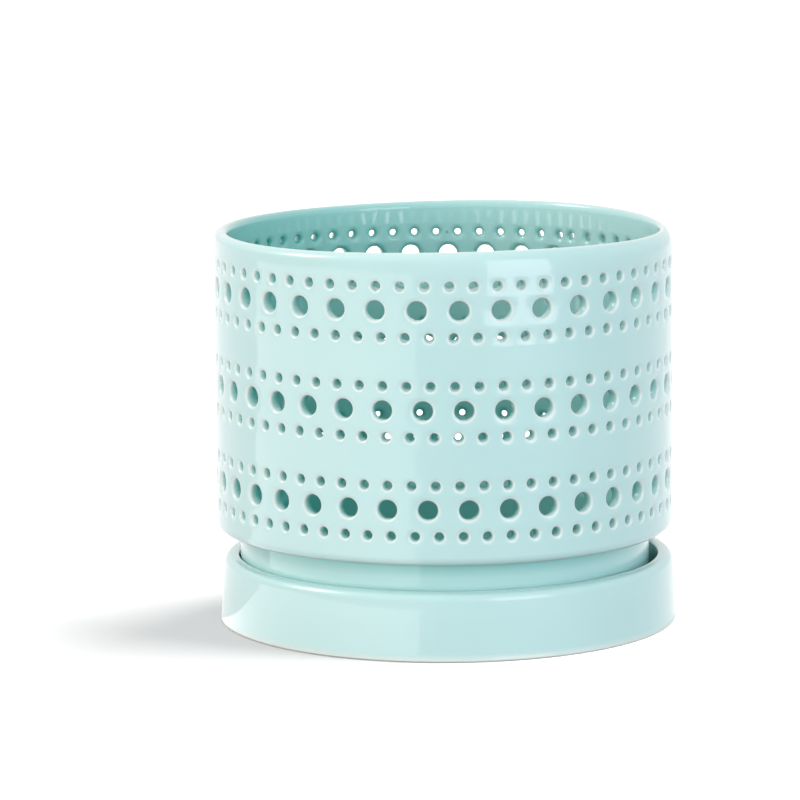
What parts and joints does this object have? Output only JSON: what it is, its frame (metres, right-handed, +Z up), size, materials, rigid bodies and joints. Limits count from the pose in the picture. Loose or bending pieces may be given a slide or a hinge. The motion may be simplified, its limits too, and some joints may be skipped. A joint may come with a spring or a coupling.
{
  "type": "orchid pot with saucer",
  "caption": "Round glazed pot for orchids, its wall pierced by bands of round air holes, with a drain hole, standing in a deep matching saucer from which it lifts off.",
  "frame": {"origin": "centre of the saucer's underside, on the surface that the saucer stands on", "axes": "+Z up along the saucer's axis; -Y is the front that the picture shows; +X to its right"},
  "size_m": [0.1516, 0.1508, 0.13],
  "materials": {
    "pot_glaze": "gloss",
    "saucer_glaze": "gloss"
  },
  "bodies": {
    "saucer": {"saucer": "saucer_glaze"},
    "pot": {"pot": "pot_glaze"}
  },
  "joints": [
    {"name": "pot_lift", "type": "slide", "parent": "saucer", "child": "pot", "axis": [0, 0, 1], "range_m": [0, 0.05]}
  ]
}
